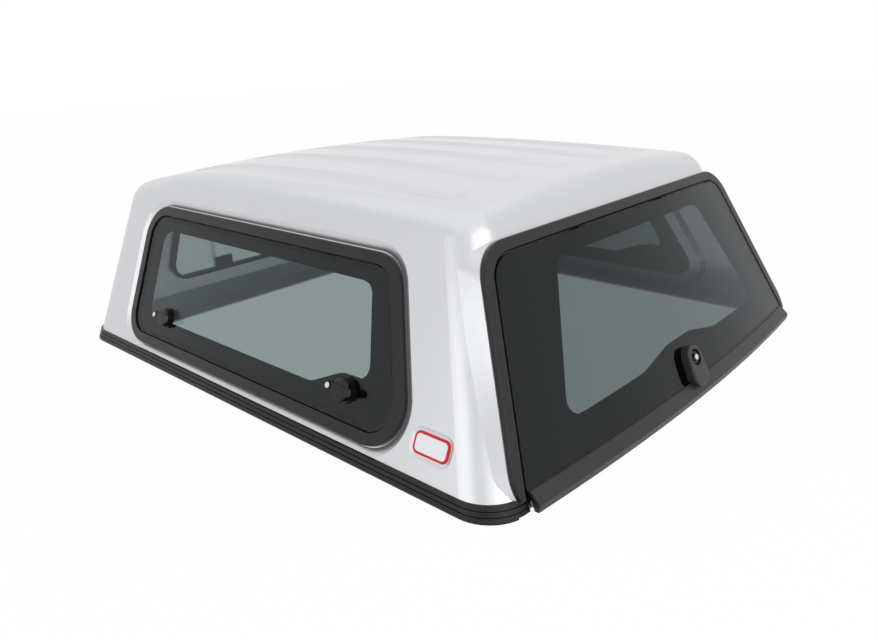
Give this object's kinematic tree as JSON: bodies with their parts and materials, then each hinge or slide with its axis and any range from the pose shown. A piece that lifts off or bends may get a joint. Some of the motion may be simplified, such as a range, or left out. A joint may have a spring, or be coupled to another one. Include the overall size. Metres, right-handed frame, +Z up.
{
  "type": "pickup truck canopy",
  "caption": "Moulded canopy for a pickup tub with a bowed glass rear door, side windows with turning knobs and a sliding front window.",
  "frame": {"origin": "middle of the overall length and width, at the level of the tub rail that the base seal rests on", "axes": "+X to the vehicle's right, +Y forward to the cab, +Z up"},
  "size_m": [1.54, 1.7319, 0.5427],
  "materials": {
    "shell_paint": "metallic silver paint under clear lacquer, on a glass fibre moulding",
    "base_rubber": "matte black ribbed rubber",
    "surround_black": "satin black moulding",
    "seal_rubber": "soft black rubber",
    "frame_black": "black powder coat on aluminium",
    "tinted_glass": "dark tinted toughened glass with a black printed border",
    "key_chrome": "polished chrome",
    "knob_plastic": "matte black moulding",
    "cap_plastic": "black moulded end cap",
    "rail_grey": "satin dark grey powder coat",
    "lock_grey": "satin dark grey moulding",
    "handle_black": "gloss black moulding",
    "hinge_black": "black coated steel"
  },
  "bodies": {
    "canopy": {"shell": "shell_paint", "base_seal": "base_rubber", "rear_surround": "surround_black", "rear_seal": "seal_rubber", "window_frame_left": "frame_black", "window_frame_right": "frame_black", "window_seal_left": "seal_rubber", "window_seal_right": "seal_rubber", "window_glass_left": "tinted_glass", "window_glass_right": "tinted_glass", "knob_ring_rear_left": "knob_plastic", "knob_ring_rear_right": "knob_plastic", "knob_ring_front_left": "knob_plastic", "knob_ring_front_right": "knob_plastic", "front_window_frame": "frame_black", "front_glass_left": "tinted_glass", "front_glass_right": "tinted_glass", "front_glass_slider": "tinted_glass", "front_latch": "knob_plastic", "door_hinge_left": "hinge_black", "door_hinge_right": "hinge_black"},
    "rear_door": {"rear_glass": "tinted_glass", "rear_rail": "rail_grey", "rear_rail_cap_left": "cap_plastic", "rear_rail_cap_right": "cap_plastic", "rear_lock_housing": "lock_grey", "hinge_arm_left": "hinge_black", "hinge_arm_right": "hinge_black"},
    "rear_handle": {"rear_handle": "handle_black", "rear_lock_barrel": "key_chrome"},
    "knob_rear_left": {"knob_rear_left": "knob_plastic", "key_barrel_rear_left": "key_chrome"},
    "knob_rear_right": {"knob_rear_right": "knob_plastic", "key_barrel_rear_right": "key_chrome"},
    "knob_front_left": {"knob_front_left": "knob_plastic", "key_barrel_front_left": "key_chrome"},
    "knob_front_right": {"knob_front_right": "knob_plastic", "key_barrel_front_right": "key_chrome"}
  },
  "joints": [
    {"name": "rear_door_hinge", "type": "hinge", "parent": "canopy", "child": "rear_door", "pos_m": [0, -0.6277, 0.44014], "axis": [-1, 0, 0], "range_deg": [0, 75]},
    {"name": "rear_handle_turn", "type": "hinge", "parent": "rear_door", "child": "rear_handle", "pos_m": [0, -0.81578, 0.09], "axis": [0, -0.9033, 0.4291], "range_deg": [0, 90]},
    {"name": "knob_rear_left_turn", "type": "hinge", "parent": "canopy", "child": "knob_rear_left", "pos_m": [-0.70357, -0.34297, 0.13229], "axis": [0.9121, 0, -0.4099], "range_deg": [0, 90]},
    {"name": "knob_rear_right_turn", "type": "hinge", "parent": "canopy", "child": "knob_rear_right", "pos_m": [0.70357, -0.34297, 0.13229], "axis": [0.9121, 0, 0.4099], "range_deg": [0, 90]},
    {"name": "knob_front_left_turn", "type": "hinge", "parent": "canopy", "child": "knob_front_left", "pos_m": [-0.70357, 0.44103, 0.13229], "axis": [0.9121, 0, -0.4099], "range_deg": [0, 90]},
    {"name": "knob_front_right_turn", "type": "hinge", "parent": "canopy", "child": "knob_front_right", "pos_m": [0.70357, 0.44103, 0.13229], "axis": [0.9121, 0, 0.4099], "range_deg": [0, 90]}
  ]
}
